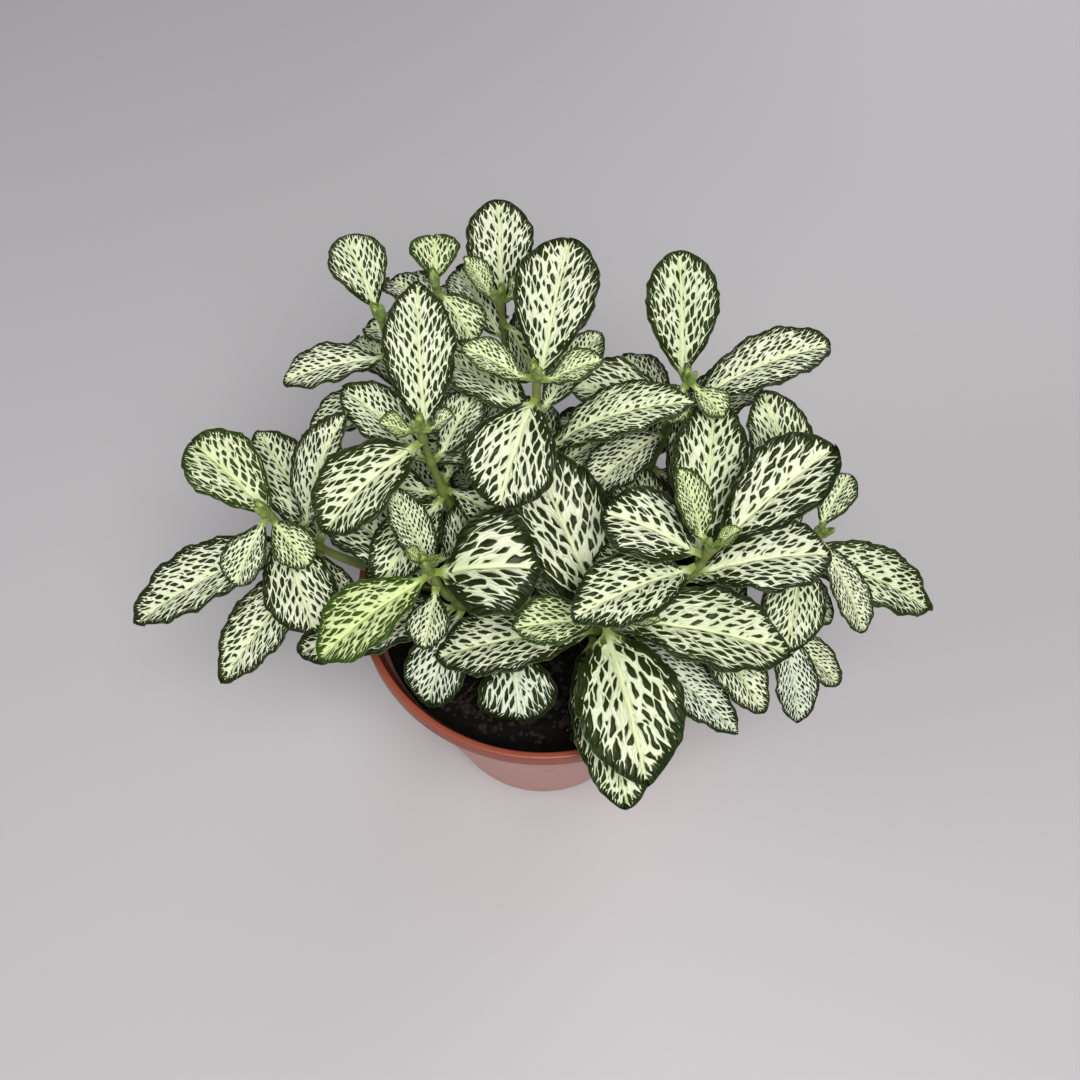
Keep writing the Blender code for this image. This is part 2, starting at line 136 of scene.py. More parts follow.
# %% A value that does sums, and a finish that holds its nodes
class Value:
    """A socket whose sums add Math nodes to its tree."""

    def __init__(self, tree, socket):
        self.tree = tree
        self.socket = socket

    def __add__(self, other):
        return self.tree.maths("ADD", self, other)

    def __sub__(self, other):
        return self.tree.maths("SUBTRACT", self, other)

    def __rsub__(self, other):
        return self.tree.maths("SUBTRACT", other, self)

    def __mul__(self, other):
        return self.tree.maths("MULTIPLY", self, other)

    def __truediv__(self, other):
        return self.tree.maths("DIVIDE", self, other)

    __radd__ = __add__
    __rmul__ = __mul__


class Tree:
    """Nodes of one tree, added by their type, their settings and their sockets."""

    def __init__(self, tree, family):
        self.tree = tree
        self.family = family

    def node(self, kind, settings=None, **sockets):
        """Add a node: first its settings, then the values or links of its sockets."""
        made = self.tree.nodes.new(kind if "Node" in kind else self.family + kind)
        for key, value in (settings or {}).items():
            setattr(made, key, value)
        for key, value in sockets.items():
            self.give(made.inputs[key.replace("_", " ")], value)
        return made

    def give(self, socket, value):
        if isinstance(value, Value):
            value = value.socket
        if isinstance(value, bpy.types.NodeSocket):
            self.tree.links.new(value, socket)
        else:
            socket.default_value = value

    def maths(self, operation, *terms):
        made = self.node("ShaderNodeMath", {"operation": operation})
        for socket, term in zip(made.inputs, terms):
            self.give(socket, term)
        return Value(self, made.outputs[0])


class Finish(Tree):
    """A material with one Principled shader, and short ways to add nodes to it."""

    def __init__(self, name, **constants):
        self.material = bpy.data.materials.new(name)
        self.material.use_nodes = True
        super().__init__(self.material.node_tree, "ShaderNode")
        self.shader = self.tree.nodes["Principled BSDF"]
        for socket, value in constants.items():
            self.shader.inputs[socket.replace("_", " ")].default_value = value

    def step(self, value, low, high):
        """0 below low, 1 above high, and smooth between."""
        made = self.node("MapRange", {"interpolation_type": "SMOOTHSTEP"}, Value=value)
        self.give(made.inputs["From Min"], low)
        self.give(made.inputs["From Max"], high)
        return Value(self, made.outputs["Result"])

    def mix(self, share, first, second):
        """A colour between two others."""
        made = self.tree.nodes.new("ShaderNodeMix")
        made.data_type = "RGBA"
        self.give(made.inputs[0], share)
        self.give(made.inputs[6], first)
        self.give(made.inputs[7], second)
        return made.outputs[2]

    def vector(self, x, y, z=0.0):
        return self.node("CombineXYZ", X=x, Y=y, Z=z).outputs["Vector"]

    def attribute(self, name):
        """The three numbers of a vector attribute."""
        source = self.node("Attribute", {"attribute_name": name})
        parts = self.node("SeparateXYZ", Vector=source.outputs["Vector"])
        return [Value(self, socket) for socket in parts.outputs]

    def noise(self, place, scale, detail=2, roughness=0.5, dimensions="3D"):
        made = self.node("TexNoise", {"noise_dimensions": dimensions}, Vector=place, Scale=scale,
                         Detail=detail, Roughness=roughness)
        return Value(self, made.outputs["Fac"])

    def place(self):
        return self.node("TexCoord").outputs["Object"]

    def paint(self, colour):
        self.give(self.shader.inputs["Base Color"], colour)

    def bump(self, height, distance, strength=1.0):
        made = self.node("Bump", Height=height, Distance=distance, Strength=strength)
        self.give(self.shader.inputs["Normal"], made.outputs["Normal"])


def colour(red, green, blue):
    """A display colour of 0 to 255 as the linear colour that shaders use."""
    return tuple(((c / 255 + 0.055) / 1.055) ** 2.4 for c in (red, green, blue)) + (1.0,)


# %% [markdown]
# ## The table
#
# A smooth pale grey top, wide enough to fill every view.

# %% Table top
table_finish = Finish("table_top", Roughness=0.55)
cloud = table_finish.noise(table_finish.place(), 2.5, detail=1)
table_finish.paint(table_finish.mix(cloud, colour(180, 177, 178), colour(188, 185, 188)))
TABLE_SIDE = 8
TABLE_DROP = 0.4 * MM
bpy.ops.mesh.primitive_plane_add(size=TABLE_SIDE, location=(0, 0, -TABLE_DROP))
table = bpy.context.object
table.name = "table"
table.data.materials.append(table_finish.material)

# %% [markdown]
# ## Reading the stems
#
# Each stem in the frame is a tube of rings. Starting from its lowest ring and stepping to
# the next vertices along the edges gives one ring after another, and their middles give the
# line that the stem follows and how thick it is.

# %% Stem lines
WELD = 0.001 * MM
RING_SLACK = 0.02 * MM


def welded(node):
    """A merged copy of a node's triangles."""
    work = bmesh.new()
    work.from_mesh(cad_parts[node].data)
    bmesh.ops.remove_doubles(work, verts=work.verts, dist=WELD)
    return work


def read_stem(node):
    """The middles and radii of a tube's rings, from its root to its end."""
    work = welded(node)
    floor = min(vert.co.z for vert in work.verts)
    ring = [vert for vert in work.verts if vert.co.z < floor + RING_SLACK]
    seen = set(ring)
    middles, radii = [], []
    while ring:
        points = np.array([vert.co for vert in ring])
        middles.append(points.mean(axis=0))
        radii.append(np.linalg.norm(points - middles[-1], axis=1).mean())
        nearby = [edge.other_vert(vert) for vert in ring for edge in vert.link_edges]
        ring = [vert for vert in dict.fromkeys(nearby) if vert not in seen]
        seen.update(ring)
    work.free()
    return np.array(middles), np.array(radii)


stems = {node.removeprefix("stem_"): read_stem(node)
         for node in sorted(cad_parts) if node.startswith("stem_")}
print("stems:", {name: len(middles) for name, (middles, _) in stems.items()})


# %% [markdown]
# ## Reading the leaves
#
# A whorl in the frame is a collar round its stem with two or four blades. With everything
# close to the stem taken away, each blade is an island. A blade is a folded sheet, so each
# point's partner on the other face is a sheet's thickness away, and the points between them
# make rows of three: one edge, the midrib and the other edge.

# %% Blades of a whorl
SHEET = 0.6 * MM
SHEET_SLACK = 0.06 * MM
COLLAR_REACH = 3.2 * MM
SCRAP = 12


def nearest_on(line, point):
    """The point of a line of points that is nearest, and how far it is."""
    starts, steps = line[:-1], np.diff(line, axis=0)
    share = np.einsum("ij,ij->i", point - starts, steps) / np.einsum("ij,ij->i", steps, steps)
    feet = starts + steps * np.clip(share, 0, 1)[:, None]
    gaps = np.linalg.norm(feet - point, axis=1)
    best = int(gaps.argmin())
    return feet[best], gaps[best]


def islands(work):
    """Groups of joined vertices."""
    left = dict.fromkeys(work.verts)
    while left:
        first, _ = left.popitem()
        group, waiting = [first], [first]
        while waiting:
            vert = waiting.pop()
            for edge in vert.link_edges:
                other = edge.other_vert(vert)
                if other in left:
                    del left[other]
                    group.append(other)
                    waiting.append(other)
        yield np.array([vert.co for vert in group])


def sheet_middles(points):
    """The middles of pairs of points that are one sheet's thickness apart."""
    gaps = np.linalg.norm(points[:, None] - points[None], axis=2)
    np.fill_diagonal(gaps, 1)
    partner = np.abs(gaps - SHEET).argmin(axis=1)
    return np.array([(points[i] + points[j]) / 2 for i, j in enumerate(partner)
                     if i < j and partner[j] == i and abs(gaps[i, j] - SHEET) < SHEET_SLACK])


def rows_of(points, root):
    """Rows of (edge, midrib, edge) from the stem to the tip."""
    middles = sheet_middles(points)
    tip = middles[np.linalg.norm(middles - root, axis=1).argmax()]
    ahead = (tip - root) / np.linalg.norm(tip - root)
    order = np.argsort(-(middles @ ahead))
    rows = []
    for i in range(0, len(order) - 2, 3):
        row = middles[order[i:i + 3]]
        spread = np.linalg.norm(row[:, None] - row[None], axis=2)
        middle = int(spread.max(axis=1).argmin())
        first, second = (k for k in range(3) if k != middle)
        rows.append(row[[first, middle, second]])
    rows = np.array(rows[::-1])
    across = np.cross((0, 0, 1), ahead)
    for row in rows:
        if (row[2] - row[0]) @ across < 0:
            row[[0, 2]] = row[[2, 0]]
    return rows


def read_blades(node, line):
    """(root on the stem's line, rows) of each blade of a whorl."""
    work = welded(node)
    close = [vert for vert in work.verts
             if nearest_on(line, np.array(vert.co))[1] < COLLAR_REACH]
    bmesh.ops.delete(work, geom=close, context="VERTS")
    groups = [points for points in islands(work) if len(points) > SCRAP]
    work.free()
    blades = []
    for points in groups:
        gaps = [nearest_on(line, point)[1] for point in points]
        root = nearest_on(line, points[int(np.argmin(gaps))])[0]
        blades.append((root, rows_of(points, root)))
    blades.sort(key=lambda blade: math.atan2(*(blade[1][-1, 1] - blade[0])[1::-1]))
    return blades


whorls = {}
for node in sorted(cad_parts):
    if node.startswith("leaves_"):
        shoot, level = node.removeprefix("leaves_").rsplit("_", 1)
        whorls[node] = read_blades(node, stems[shoot][0])
print("whorls:", len(whorls), "leaves:", sum(len(blades) for blades in whorls.values()))

# %% [markdown]
# ## The shape of one leaf
#
# The rows are few, so a curve is drawn through their midribs and read at as many places as
# the leaf needs. On top of that comes what makes it a nerve plant's leaf: a groove along the
# midrib, side veins that sink in and puff the blade up between them, a scalloped edge that
# ripples, and a stalk that thickens towards the stem. Arrays make a hundred leaves quickly.

# %% Curves through rows
def curve_through(knots, values, at):
    """A smooth curve through values at knots, with slopes taken from the neighbours."""
    slopes = np.gradient(values, knots, axis=0)
    i = np.clip(np.searchsorted(knots, at, side="right") - 1, 0, len(knots) - 2)
    step = knots[i + 1] - knots[i]
    t = (at - knots[i]) / step
    if values.ndim > 1:
        t, step = t[:, None], step[:, None]
    return ((1 + 2 * t) * (1 - t) ** 2 * values[i] + t * (1 - t) ** 2 * step * slopes[i]
            + t * t * (3 - 2 * t) * values[i + 1] + t * t * (t - 1) * step * slopes[i + 1])


def unit(vectors):
    return vectors / np.linalg.norm(vectors, axis=-1, keepdims=True)


# %% Leaf outline and surface
ROW_STEP, MOST_ROWS = 0.75 * MM, 84
COLUMN_STEP, MOST_COLUMNS = 0.65 * MM, 24
TIP_CROWDING = 1.35
STALK_HALF = 1.2 * MM
STALK_LENGTH = 2.4 * MM
STALK_BLEND = 0.16
PEAK_RANGE = (0.38, 0.66)
ROUND_TIP, TIP_HALF = 0.8 * MM, 0.3 * MM
BASE_FULLNESS = 0.68
SCALLOP = 0.018
MARGIN_RIPPLE = 0.035
GROOVE_DEPTH, GROOVE_HALF = 0.3 * MM, 0.8 * MM
VEIN_DEPTH = 0.3 * MM
VEIN_LEAN = 1.1
VEIN_SWEEP = 0.7
SIDE_VEINS_PER_WIDTH = 2.9
PUFF = 0.06
KEEL_DEPTH, KEEL_HALF = 0.45 * MM, 0.9 * MM
MARGIN_THICK, BODY_THICK, STALK_THICK = 0.24 * MM, 0.14 * MM, 0.9 * MM


def widest_place(knots, half):
    """Where a leaf is widest and by how much, from a parabola through its widest rows."""
    k = int(np.clip(half.argmax(), 1, len(half) - 2))
    a, b, c = np.polyfit(knots[k - 1:k + 2], half[k - 1:k + 2], 2)
    place = np.clip(-b / (2 * a), knots[k - 1], knots[k + 1])
    return place, max(half.max(), a * place ** 2 + b * place + c)


def vein_line(along, across):
    """A number that stays the same along each side vein."""
    return along - VEIN_LEAN * across - VEIN_SWEEP * across ** 2


class Blade:
    """One leaf's upper face as a grid of points, with what its finish needs at each."""

    def __init__(self, root, rows, seed, tip):
        chance = np.random.default_rng(seed)
        middles = np.vstack([root, rows[:, 1]])
        knots = distances_along(middles)
        sides = [unit(rows[:, k] - rows[:, 1]) for k in (0, 2)]
        half = np.linalg.norm(rows[:, [0, 2]] - rows[:, [1]], axis=2).mean(axis=1)
        self.length = knots[-1]
        peak, widest = widest_place(knots[1:], half)
        self.width = 2 * widest
        share = np.linspace(0, 1, int(np.clip(self.length / ROW_STEP, 22, MOST_ROWS)))
        self.along = self.length * (1 - (1 - share) ** TIP_CROWDING)
        outline = self.outline(peak / self.length, tip)
        past_stalk = (self.along - STALK_LENGTH) / (STALK_BLEND * self.length)
        self.stalk = 1 - np.clip(past_stalk, 0, 1)
        columns = int(np.clip(widest / COLUMN_STEP, 5, MOST_COLUMNS))
        self.across = np.linspace(-1, 1, 2 * columns + 1)
        self.half = np.stack([self.scalloped(outline, chance) for _ in range(2)])
        line = curve_through(knots, middles, self.along)
        arms = [unit(curve_through(knots, np.vstack([side[:1], side]), self.along))
                for side in sides]
        self.lay(line, arms, chance)

    def outline(self, peak, tip_power):
        """Half the width along the leaf: narrow at the stem, and blunt or pointed at the tip."""
        start = min(STALK_LENGTH / self.length, 0.25)
        t = np.clip((self.along / self.length - start) / (1 - start), 0, 1)
        peak = np.clip((peak - start) / (1 - start) + 0.05, *PEAK_RANGE)
        bias = math.log(0.5) / math.log(peak)
        power = BASE_FULLNESS + (tip_power - BASE_FULLNESS) * t
        half = self.width / 2 * np.sin(math.pi * t ** bias) ** power
        stalk = STALK_HALF * np.clip(1 - 2 * t, 0, 1)
        tip = np.clip((1 - t) * self.length / ROUND_TIP, 0.004, 1)
        return np.maximum(np.maximum(half, stalk), TIP_HALF * np.sqrt(1 - (1 - tip) ** 2))

    def scalloped(self, outline, chance):
        """One edge of the outline, with shallow uneven scallops."""
        wave = 0.14 * self.width + 1.5 * MM
        phase = chance.uniform(0, TURN, 3)
        ripple = (np.sin(TURN * self.along / wave + phase[0])
                  + 0.6 * np.sin(TURN * self.along / (0.57 * wave) + phase[1])
                  + 0.8 * np.sin(TURN * self.along / (2.3 * wave) + phase[2]))
        return outline * (1 + SCALLOP * ripple * (1 - self.stalk))

    def lay(self, line, arms, chance):
        """Place the grid and raise or sink it to its relief."""
        a = self.across[None, :]
        reach = np.where(a < 0, self.half[0][:, None], self.half[1][:, None]) * np.abs(a)
        arm = np.where((a < 0)[..., None], arms[0][:, None], arms[1][:, None])
        flat = line[:, None] + arm * reach[..., None]
        self.normal = unit(np.cross(np.gradient(flat, axis=0), np.gradient(flat, axis=1)))
        self.x = self.along[:, None] + 0 * a
        self.y = reach * np.sign(a)
        self.inset = self.distance_in()
        self.points = flat + self.normal * self.relief(reach, a, chance)[..., None]

    def relief(self, reach, a, chance):
        """Quilting between sunk side veins, a groove at the midrib and a rippled margin."""
        wide = self.half.mean(axis=0)[:, None]
        blade = 1 - self.stalk[:, None]
        veins = vein_line(self.x / self.width, reach / self.width) * SIDE_VEINS_PER_WIDTH
        veins = veins + 0.5 * (a > 0) + chance.uniform()
        furrow = np.abs(veins - np.round(veins)) * 2
        quilt = np.sin(furrow * math.pi / 2)
        arch = np.sin(math.pi * np.clip(np.abs(a), 0, 1) ** 0.8) * PUFF * wide
        wave = TURN * self.x / (0.34 * self.width + 3 * MM)
        phase = chance.uniform(0, TURN, 2)
        ripple = np.sin(wave + np.where(a < 0, phase[0], phase[1])) * np.abs(a) ** 3
        groove = GROOVE_DEPTH * np.exp(-(reach / GROOVE_HALF) ** 2)
        curl = chance.uniform(-0.05, 0.05) * a ** 3 + chance.uniform(-0.03, 0.06) * a ** 2
        return blade * (VEIN_DEPTH * (quilt - 0.5) + arch - groove
                        + (ripple * MARGIN_RIPPLE + curl) * self.width)

    def distance_in(self):
        """How far each point lies in from the leaf's margin."""
        edge = np.concatenate([np.stack([self.along, -self.half[0]], axis=1),
                               np.stack([self.along, self.half[1]], axis=1)])
        edge = edge[np.tile(self.along, 2) > 0.02 * self.length]
        spot = np.stack([self.x, self.y], axis=-1)
        gaps = np.linalg.norm(spot[:, :, None] - edge[None, None], axis=3)
        return gaps.min(axis=2)

    def thickness(self):
        """Thin at the margin, with a keel under the midrib and a round stalk."""
        a = self.across[None, :]
        keel = KEEL_DEPTH * np.exp(-(np.abs(self.y) / KEEL_HALF) ** 2)
        keel = keel * (1 - 0.6 * self.x / self.length)
        stalk = STALK_THICK * self.stalk[:, None] * (1 - a ** 2)
        return MARGIN_THICK + BODY_THICK * (1 - a ** 4) + keel + stalk


# %% Leaf mesh
TOP_PAGE = (0.34, 0.985)
UNDER_PAGE = (0.015, 0.30)
PAGE_EDGE = 0.015
RIM_STRIP = 0.008
LEAF_EDGE_ANGLE = 50
USUAL_WIDTH = 25 * MM


def shell_faces(rows, columns):
    """Quads of an upper grid, a lower grid and the rim between them."""
    grid = np.arange(rows * columns).reshape(rows, columns)
    upper = np.stack([grid[:-1, :-1], grid[1:, :-1], grid[1:, 1:], grid[:-1, 1:]], axis=-1)
    upper = upper.reshape(-1, 4)
    lower = upper[:, ::-1] + rows * columns
    ring = np.concatenate([grid[:-1, 0], grid[-1, :-1], grid[:0:-1, -1], grid[0, :0:-1]])
    after = np.roll(ring, -1)
    rim = np.stack([after, ring, ring + rows * columns, after + rows * columns], axis=-1)
    return upper, lower, rim


def leaf_parts(blade, mood):
    """A closed leaf's vertices, faces, page places and what its finish needs."""
    rows, columns = blade.points.shape[:2]
    size = rows * columns
    top = blade.points.reshape(-1, 3)
    drop = (blade.normal * blade.thickness()[..., None]).reshape(-1, 3)
    upper, lower, rim = shell_faces(rows, columns)
    position = np.stack([blade.x, blade.y, blade.inset], axis=-1).reshape(-1, 3) / blade.width
    zone = np.stack([np.repeat(blade.stalk, columns), np.zeros(size), np.full(size, mood[2])],
                    axis=-1)
    page = np.stack([np.repeat(blade.along / blade.length, columns),
                     np.tile((blade.across + 1) / 2, rows)], axis=-1)
    page[:, 0] = PAGE_EDGE + (1 - 2 * PAGE_EDGE) * page[:, 0]
    upper_page, under_page = (
        np.stack([page[:, 0], low + (high - low) * page[:, 1]], axis=1)
        for low, high in (TOP_PAGE, UNDER_PAGE))
    return {"verts": np.concatenate([top, top - drop]),
            "faces": np.concatenate([upper, lower, rim]),
            "page": np.concatenate([upper_page[upper], under_page[lower - size],
                                    rim_page(upper_page, rim, size)]),
            "leaf_map": np.concatenate([position, position]),
            "leaf_zone": np.concatenate([zone, zone + (0, 1, 0)]),
            "leaf_mood": np.tile(mood[:2] + [blade.width / USUAL_WIDTH], (2 * size, 1))}


def rim_page(page, rim, size):
    """The rim's strip of the page, just outside the upper face's edge."""
    middle = np.array([0.5, (TOP_PAGE[0] + TOP_PAGE[1]) / 2])
    inner = page[rim % size]
    outwards = np.sign(np.round(inner - middle, 6))
    on_edge = np.abs(inner - middle) > np.array([0.5 - PAGE_EDGE, middle[1] - TOP_PAGE[0]]) - 1e-4
    outer = inner + outwards * on_edge * RIM_STRIP
    return np.concatenate([inner[:, :2], outer[:, 2:]], axis=1)


def leaves_piece(name, leaves):
    """One piece of a few (blade, mood) leaves, each with its own share of the page."""
    parts = [leaf_parts(blade, mood) for blade, mood in leaves]
    across, down = (1 if len(parts) < 3 else 2), (1 if len(parts) < 2 else 2)
    start = 0
    for i, part in enumerate(parts):
        part["faces"] = part["faces"] + start
        start += len(part["verts"])
        part["page"] = (part["page"] + (i % across, i // across)) / (across, down)
    whole = {key: np.concatenate([part[key] for part in parts]) for key in parts[0]}
    mesh = bpy.data.meshes.new(name)
    mesh.from_pydata(whole["verts"].tolist(), [], whole["faces"].tolist())
    mesh.shade_smooth()
    mesh.set_sharp_from_angle(angle=math.radians(LEAF_EDGE_ANGLE))
    for key in ("leaf_map", "leaf_zone", "leaf_mood"):
        layer = mesh.attributes.new(key, "FLOAT_VECTOR", "POINT")
        layer.data.foreach_set("vector", whole[key].reshape(-1).astype(np.float32))
    layer = mesh.uv_layers.new(name="OFBake")
    layer.data.foreach_set("uv", whole["page"].reshape(-1).astype(np.float32))
    mesh.materials.append(leaf_finish.material)
    piece = placed(name, mesh)
    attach(piece, "root")
    return piece


# %% [markdown]
# ## The leaf's finish
#
# The pattern follows the leaf, so it is worked out from how far a spot lies along and across
# the blade and how far in from the margin, which each leaf carries as an attribute. Side
# veins leave the midrib at a slant and sweep towards the tip. In their direction the cells
# of a Voronoi pattern are stretched into islands of green, and the cream net is what lies
# between the cells. The net narrows towards the margin and runs into the green band there
# as fine points. Distances in the pattern are shares of the leaf's width.

# %% Leaf finish
VEIN_ROWS = 6.4
CELLS_ACROSS = 8.4
CELL_MESS = 0.6
DARK_COARSER = 0.22
POINTS_ALONG = 15.5
POINT_LENGTH = 0.06

leaf_finish = Finish("nerve_leaf", Roughness=0.44, Specular_IOR_Level=0.3)


def net_of_veins(f, x, y, seed, dark):
    """Where a spot lies in the side veins' rows, and how deep inside a cell of the net."""
    away = f.maths("ABSOLUTE", y)
    half = f.maths("SIGN", y)
    drift_a = f.noise(f.vector(x * 5 + seed * 3.1, y * 5 + seed), 1.0, 1, dimensions="2D") - 0.5
    drift_b = f.noise(f.vector(x * 12 + seed, y * 12 + 40), 1.0, 1, dimensions="2D") - 0.5
    line = x - VEIN_LEAN * away - VEIN_SWEEP * (away * away)
    coarse = 1 - DARK_COARSER * dark
    q = line * VEIN_ROWS * coarse + drift_a * 0.8 + half * 0.27 + seed * 2
    p = (away * 1.5 + away * away * 0.6) * CELLS_ACROSS * coarse + drift_b * 0.5
    row = f.maths("FLOOR", q)
    jog = f.node("TexWhiteNoise", {"noise_dimensions": "1D"}, W=row + half * 57)
    cells = f.vector(p + Value(f, jog.outputs["Value"]) * 3 + half * 31, q)
    net, core = (f.node("TexVoronoi", {"voronoi_dimensions": "2D", "feature": feature},
                        Vector=cells, Scale=1.0, Randomness=CELL_MESS)
                 for feature in ("DISTANCE_TO_EDGE", "F1"))
    luck = Value(f, f.node("SeparateXYZ", Vector=core.outputs["Color"]).outputs["X"])
    side_vein = 0.5 - f.maths("ABSOLUTE", q - row - 0.5)
    inside = f.maths("SMOOTH_MIN", Value(f, net.outputs["Distance"]), side_vein + 0.06, 0.2)
    return line, away, half, drift_a, drift_b, inside, Value(f, core.outputs["Distance"]), luck


def leaf_pattern(f):
    x, y, inset = f.attribute("leaf_map")
    stalk, under, seed = f.attribute("leaf_zone")
    youth, dark, size = f.attribute("leaf_mood")
    net = net_of_veins(f, x, y, seed, dark)
    line, away, half, drift_a, drift_b, inside, reach, luck = net

    # The net is wide along the midrib and narrow at the margin.
    outer = 1 - f.step(inset, 0.05, 0.2)
    spine = 1 - f.step(away, 0.0, 0.12)
    thread = 0.05 + 0.1 * spine - 0.05 * outer + 0.1 * luck - 0.03 * dark + drift_b * 0.1
    round_off = 0.37 + 0.03 * dark + 0.2 * outer + drift_a * 0.2 - 0.07 * spine
    island = f.step(inside, thread, thread + 0.08)
    island = island * (1 - f.step(reach, round_off, round_off + 0.14))
    midrib = 1 - f.step(away, 0.020 - 0.010 * x, 0.044 - 0.012 * x)
    island = island * (1 - midrib)

    # Points of cream run out into the green band along the margin.
    comb = f.maths("FRACT", line * POINTS_ALONG + drift_a * 1.4 + seed)
    comb = f.maths("ABSOLUTE", comb - 0.5) * 2
    depth = f.noise(f.vector(line * 8 + half * 9, seed * 5), 1.0, 1, dimensions="2D")
    start = 0.012 + 0.05 * depth + dark * 0.02
    spike = f.step(comb - (inset - start) / POINT_LENGTH, 0.0, 0.2)
    band = spike * (1 - f.step(stalk, 0.35, 0.8))
    green = f.maths("MAXIMUM", island, band)

    # Cream, green and the leaf's underside, with a leaf's own tint.
    tone = f.noise(f.vector(x * 3 + seed, y * 3), 1.0, detail=3, dimensions="2D")
    cream = f.mix(tone, colour(206, 213, 180), colour(232, 235, 212))
    cream = f.mix(f.step(away, 0.10, 0.0) * 0.3, cream, colour(205, 213, 158))
    base = 1 - f.step(x, 0.05, 0.6)
    cream = f.mix(base * 0.5, cream, colour(186, 200, 140))
    leafy = f.mix(tone, colour(24, 32, 6), colour(54, 62, 18))
    leafy = f.mix(band * 0.5, leafy, colour(34, 46, 14))
    cream = f.mix(youth, cream, colour(196, 216, 116))
    cream = f.mix(youth * -1, cream, colour(206, 224, 216))
    leafy = f.mix(youth, leafy, colour(76, 108, 28))
    face = f.mix(green, cream, leafy)
    hairline = 1 - f.step(inset, 0.0, 0.008)
    face = f.mix(hairline * 0.3 * (1 - stalk), face, colour(140, 152, 120))
    face = f.mix(f.step(stalk, 0.45, 1.0), face, colour(132, 150, 78))

    back = f.mix(green * 0.6, colour(150, 164, 128), colour(74, 92, 60))
    back = f.mix((1 - f.step(away, 0.0, 0.05)) * 0.6, back, colour(172, 182, 144))
    back = f.mix(youth, back, colour(134, 152, 84))
    f.paint(f.mix(under, face, back))
    f.bump(f.maths("MINIMUM", inside, 0.34) * (1 - midrib), size * 1.3 * MM, 0.9)


leaf_pattern(leaf_finish)

# %% [markdown]
# ## All the leaves
#
# Every blade of the frame becomes a leaf, and the leaves of one whorl are one piece. Small
# leaves at a shoot's end are young, and young leaves are a fresher yellow-green, so a leaf's
# mood comes from its size and its place, with a little chance of its own. The leaves that
# show most have moods and tips listed one by one.

# %% Grow the leaves
FULL_GROWN, GROWING = 26 * MM, 18 * MM
BLUNT_TIP, POINTED_TIP = 0.56, 0.8
MOODS = {
    "front_left_1a": (0.5, 0.3), "front_left_1c": (0.0, 0.6), "front_left_4b": (-0.35, 0.1),
    "far_left_2b": (0.22, 0.0), "far_left_3a": (0.0, 0.0), "front_1a": (0.3, 0.1),
    "front_1c": (0.1, 0.2), "front_2a": (0.05, 0.8), "front_2b": (0.0, 0.7),
    "front_3b": (-0.35, 0.0), "low_front_1b": (-0.4, 0.3), "low_right_1a": (-0.35, 0.0),
    "middle_1a": (0.0, 0.1), "middle_1b": (0.3, 0.0), "middle_1d": (0.28, 0.0),
    "middle_3a": (0.12, 0.0), "tall_left_1c": (0.2, 0.3), "right_1b": (0.0, 0.6),
    "right_1c": (0.3, 0.1), "right_1d": (0.0, 0.5),
}
BLUNT = ("back_tall_1c", "middle_1c", "tall_right_1d", "tall_right_2a", "right_1b", "right_1d",
         "far_left_2b", "far_right_2b", "back_left_1b", "low_front_1b", "back_1b", "front_4a")
POINTED = ("far_left_3a", "far_left_4a", "front_2a", "front_1c", "front_left_1a",
           "front_left_1c", "front_3b", "low_right_1a", "low_right_2a", "middle_1a",
           "middle_3a", "tall_left_1b", "tall_left_1d", "far_right_3a", "front_1a")


def leaf_mood(name, level, blade, chance):
    """How young a leaf is, how dark its pattern is and its own seed."""
    small = np.clip((FULL_GROWN - blade.length) / GROWING, 0, 1)
    young = 0.5 * small if level == 1 else 0.1 * small
    young, dark = young + chance.uniform(0, 0.1), chance.uniform(-0.2, 0.4)
    young, dark = MOODS.get(name, (young, dark))
    return [float(young), float(dark), float(chance.uniform(0, 9))]


def tip_of(name, chance):
    """How drawn out a leaf's tip is, from blunt to pointed."""
    if name in BLUNT:
        return BLUNT_TIP
    return POINTED_TIP if name in POINTED else chance.uniform(0.58, POINTED_TIP)


leaf_faces = 0
for number, (node, blades) in enumerate(whorls.items()):
    level = int(node.rsplit("_", 1)[1])
    leaves = []
    for letter, (root, rows) in zip("abcd", blades):
        name = node.removeprefix("leaves_") + letter
        seed = 100 * number + ord(letter)
        chance = np.random.default_rng(seed + 7)
        blade = Blade(root, rows, seed, tip_of(name, chance))
        leaves.append((blade, leaf_mood(name, level, blade, chance)))
        print(f"{name}: {blade.length / MM:.0f} x {blade.width / MM:.0f} mm")
    whorl = leaves_piece(node.replace("leaves", "whorl"), leaves)
    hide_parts(node)
    leaf_faces += len(whorl.data.polygons)
print("leaf faces:", leaf_faces)

# %% [markdown]
# ## Stems
#
# A stem is a soft green rod that swells wherever a pair of leaves grows. It follows a path,
# so a small Geometry Nodes tree sweeps a circle along a curve. The curve's own radius says
# how thick the stem is at each point, which puts the swellings in with one formula.

# %% Stem finish
FRESH_FROM, FRESH_ABOVE = 105 * MM, 150 * MM
stem_finish = Finish("stem_skin", Roughness=0.5)


def stem_skin(f):
    streak = f.noise(f.place(), 420, detail=3)
    skin = f.mix(f.noise(f.place(), 90), colour(96, 108, 50), colour(146, 158, 88))
    high = f.node("SeparateXYZ", Vector=f.place()).outputs["Z"]
    skin = f.mix(f.step(high, FRESH_FROM, FRESH_ABOVE) * 0.7, skin, colour(132, 146, 84))
    f.paint(f.mix(streak * 0.3, skin, colour(92, 84, 48)))
    f.bump(streak, 0.15 * MM, 0.6)


stem_skin(stem_finish)


